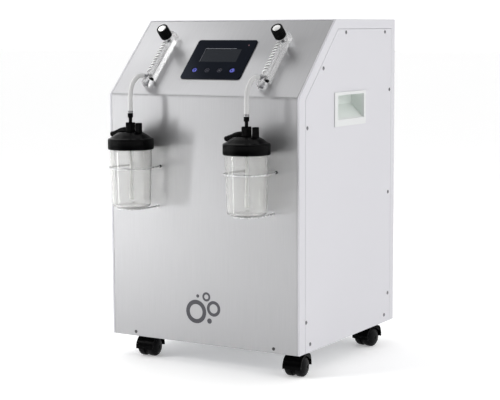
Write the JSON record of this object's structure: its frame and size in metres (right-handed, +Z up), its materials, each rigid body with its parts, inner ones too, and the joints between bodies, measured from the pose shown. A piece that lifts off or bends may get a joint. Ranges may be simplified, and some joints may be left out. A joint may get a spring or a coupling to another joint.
{
  "type": "oxygen concentrator",
  "caption": "Box-shaped medical oxygen cabinet on twin-wheel casters, with a sloped control panel, flowmeters and humidifier bottles on the front.",
  "frame": {"origin": "on the floor under the middle of the outer box, which includes the bottles", "axes": "+Z up, -Y towards the control panel and bottles, +X to the right of someone facing the front"},
  "size_m": [0.3853, 0.4418, 0.5925],
  "materials": {
    "front_steel": "fine vertical brushing, satin",
    "shell_paint": "white powder coat",
    "tray_plate": "galvanised grey",
    "cup_plastic": "moulded white",
    "panel_gloss": "black, polished",
    "screen": "dark display window",
    "key_face": "dark, lit from below",
    "clear_acrylic": "clear acrylic",
    "clear_jar": "clear polycarbonate",
    "milky_plastic": "milky",
    "silicone": "milky silicone hose",
    "black_plastic": "black, semi-gloss",
    "chrome": "bright plated wire and fittings",
    "wheel_rubber": "black tread",
    "cast_aluminium": "cast, satin",
    "filter_foam": "open foam"
  },
  "bodies": {
    "cabinet": {"cabinet_shell": "shell_paint", "front_panel": "front_steel", "base_tray": "tray_plate", "rear_panel": "shell_paint", "left_side_cover": "shell_paint", "right_side_cover": "shell_paint", "left_handle_cup": "cup_plastic", "right_handle_cup": "cup_plastic", "keypad_overlay": "panel_gloss", "display_module": "screen", "power_inlet": "black_plastic", "filter_element": "filter_foam", "fan_frame": "black_plastic", "compressor": "cast_aluminium", "sieve_bed_a": "cast_aluminium", "sieve_bed_b": "cast_aluminium", "oxygen_tank": "cast_aluminium", "valve_manifold": "cast_aluminium", "left_flowmeter_body": "clear_acrylic", "left_flowmeter_end_plug": "chrome", "left_flowmeter_outlet_barb": "chrome", "left_humidifier_ring": "chrome", "left_humidifier_rest": "chrome", "right_flowmeter_body": "clear_acrylic", "right_flowmeter_end_plug": "chrome", "right_flowmeter_outlet_barb": "chrome", "right_humidifier_ring": "chrome", "right_humidifier_rest": "chrome"},
    "left_knob": {"left_flowmeter_knob": "black_plastic"},
    "left_float": {"left_flowmeter_float": "black_plastic"},
    "left_bottle": {"left_humidifier_lid": "black_plastic", "left_humidifier_diffuser": "milky_plastic", "left_humidifier_hose": "silicone"},
    "left_jar": {"left_humidifier_jar": "clear_jar"},
    "left_nut": {"left_humidifier_inlet_nut": "black_plastic"},
    "right_knob": {"right_flowmeter_knob": "black_plastic"},
    "right_float": {"right_flowmeter_float": "black_plastic"},
    "right_bottle": {"right_humidifier_lid": "black_plastic", "right_humidifier_diffuser": "milky_plastic", "right_humidifier_hose": "silicone"},
    "right_jar": {"right_humidifier_jar": "clear_jar"},
    "right_nut": {"right_humidifier_inlet_nut": "black_plastic"},
    "key_power": {"key_power": "key_face"},
    "key_minus": {"key_minus": "key_face"},
    "key_plus": {"key_plus": "key_face"},
    "key_timer": {"key_timer": "key_face"},
    "front_left_caster": {"front_left_caster_hood": "black_plastic"},
    "front_left_left_wheel": {"front_left_left_wheel": "wheel_rubber"},
    "front_left_right_wheel": {"front_left_right_wheel": "wheel_rubber"},
    "front_right_caster": {"front_right_caster_hood": "black_plastic"},
    "front_right_left_wheel": {"front_right_left_wheel": "wheel_rubber"},
    "front_right_right_wheel": {"front_right_right_wheel": "wheel_rubber"},
    "rear_left_caster": {"rear_left_caster_hood": "black_plastic"},
    "rear_left_left_wheel": {"rear_left_left_wheel": "wheel_rubber"},
    "rear_left_right_wheel": {"rear_left_right_wheel": "wheel_rubber"},
    "rear_right_caster": {"rear_right_caster_hood": "black_plastic"},
    "rear_right_left_wheel": {"rear_right_left_wheel": "wheel_rubber"},
    "rear_right_right_wheel": {"rear_right_right_wheel": "wheel_rubber"},
    "filter_door": {"filter_door": "shell_paint"},
    "fan_rotor": {"fan_rotor": "black_plastic"}
  },
  "joints": [
    {"name": "left_flow_knob_turn", "type": "hinge", "parent": "cabinet", "child": "left_knob", "pos_m": [-0.1155, -0.06879, 0.56385], "axis": [0, -0.7071, 0.7071], "range_deg": [0, 720]},
    {"name": "left_float_rise", "type": "slide", "parent": "cabinet", "child": "left_float", "axis": [0, 0.7071, 0.7071], "range_m": [0, 0.066]},
    {"name": "left_bottle_lift", "type": "slide", "parent": "cabinet", "child": "left_bottle", "axis": [0, 0, 1], "range_m": [0, 0.085]},
    {"name": "left_jar_unscrew", "type": "hinge", "parent": "left_bottle", "child": "left_jar", "pos_m": [-0.1155, -0.18155, 0.38], "axis": [0, 0, -1], "range_deg": [0, 540]},
    {"name": "left_nut_turn", "type": "hinge", "parent": "left_bottle", "child": "left_nut", "pos_m": [-0.1155, -0.18155, 0.4312], "axis": [0, 0, 1], "continuous": true},
    {"name": "right_flow_knob_turn", "type": "hinge", "parent": "cabinet", "child": "right_knob", "pos_m": [0.1155, -0.06879, 0.56385], "axis": [0, -0.7071, 0.7071], "range_deg": [0, 720]},
    {"name": "right_float_rise", "type": "slide", "parent": "cabinet", "child": "right_float", "axis": [0, 0.7071, 0.7071], "range_m": [0, 0.066]},
    {"name": "right_bottle_lift", "type": "slide", "parent": "cabinet", "child": "right_bottle", "axis": [0, 0, 1], "range_m": [0, 0.085]},
    {"name": "right_jar_unscrew", "type": "hinge", "parent": "right_bottle", "child": "right_jar", "pos_m": [0.1155, -0.18155, 0.38], "axis": [0, 0, -1], "range_deg": [0, 540]},
    {"name": "right_nut_turn", "type": "hinge", "parent": "right_bottle", "child": "right_nut", "pos_m": [0.1155, -0.18155, 0.4312], "axis": [0, 0, 1], "continuous": true},
    {"name": "key_power_press", "type": "slide", "parent": "cabinet", "child": "key_power", "axis": [0, 0.7071, -0.7071], "range_m": [0, 0.0005], "stiffness_N_per_m": 2000, "springref_m": -0.0005},
    {"name": "key_minus_press", "type": "slide", "parent": "cabinet", "child": "key_minus", "axis": [0, 0.7071, -0.7071], "range_m": [0, 0.0005], "stiffness_N_per_m": 2000, "springref_m": -0.0005},
    {"name": "key_plus_press", "type": "slide", "parent": "cabinet", "child": "key_plus", "axis": [0, 0.7071, -0.7071], "range_m": [0, 0.0005], "stiffness_N_per_m": 2000, "springref_m": -0.0005},
    {"name": "key_timer_press", "type": "slide", "parent": "cabinet", "child": "key_timer", "axis": [0, 0.7071, -0.7071], "range_m": [0, 0.0005], "stiffness_N_per_m": 2000, "springref_m": -0.0005},
    {"name": "front_left_swivel", "type": "hinge", "parent": "cabinet", "child": "front_left_caster", "pos_m": [-0.128, -0.10065, 0.038], "axis": [0, 0, 1], "continuous": true},
    {"name": "front_left_left_wheel_roll", "type": "hinge", "parent": "front_left_caster", "child": "front_left_left_wheel", "pos_m": [-0.12724, -0.11513, 0.017], "axis": [0.9986, 0.0523, 0], "continuous": true},
    {"name": "front_left_right_wheel_roll", "type": "hinge", "parent": "front_left_caster", "child": "front_left_right_wheel", "pos_m": [-0.12724, -0.11513, 0.017], "axis": [0.9986, 0.0523, 0], "continuous": true},
    {"name": "front_right_swivel", "type": "hinge", "parent": "cabinet", "child": "front_right_caster", "pos_m": [0.1735, -0.10565, 0.038], "axis": [0, 0, 1], "continuous": true},
    {"name": "front_right_left_wheel_roll", "type": "hinge", "parent": "front_right_caster", "child": "front_right_left_wheel", "pos_m": [0.17426, -0.12013, 0.017], "axis": [0.9986, 0.0523, 0], "continuous": true},
    {"name": "front_right_right_wheel_roll", "type": "hinge", "parent": "front_right_caster", "child": "front_right_right_wheel", "pos_m": [0.17426, -0.12013, 0.017], "axis": [0.9986, 0.0523, 0], "continuous": true},
    {"name": "rear_left_swivel", "type": "hinge", "parent": "cabinet", "child": "rear_left_caster", "pos_m": [-0.128, 0.16085, 0.038], "axis": [0, 0, 1], "continuous": true},
    {"name": "rear_left_left_wheel_roll", "type": "hinge", "parent": "rear_left_caster", "child": "rear_left_left_wheel", "pos_m": [-0.12977, 0.14646, 0.017], "axis": [0.9925, -0.1219, 0], "continuous": true},
    {"name": "rear_left_right_wheel_roll", "type": "hinge", "parent": "rear_left_caster", "child": "rear_left_right_wheel", "pos_m": [-0.12977, 0.14646, 0.017], "axis": [0.9925, -0.1219, 0], "continuous": true},
    {"name": "rear_right_swivel", "type": "hinge", "parent": "cabinet", "child": "rear_right_caster", "pos_m": [0.175, 0.16085, 0.038], "axis": [0, 0, 1], "continuous": true},
    {"name": "rear_right_left_wheel_roll", "type": "hinge", "parent": "rear_right_caster", "child": "rear_right_left_wheel", "pos_m": [0.17198, 0.14667, 0.017], "axis": [0.9781, -0.2079, 0], "continuous": true},
    {"name": "rear_right_right_wheel_roll", "type": "hinge", "parent": "rear_right_caster", "child": "rear_right_right_wheel", "pos_m": [0.17198, 0.14667, 0.017], "axis": [0.9781, -0.2079, 0], "continuous": true},
    {"name": "filter_door_swing", "type": "hinge", "parent": "cabinet", "child": "filter_door", "pos_m": [-0.078, 0.21865, 0.44], "axis": [0, 0, 1], "range_deg": [0, 110]},
    {"name": "fan_spin", "type": "hinge", "parent": "cabinet", "child": "fan_rotor", "pos_m": [-0.085, 0.20005, 0.118], "axis": [0, 1, 0], "continuous": true}
  ]
}
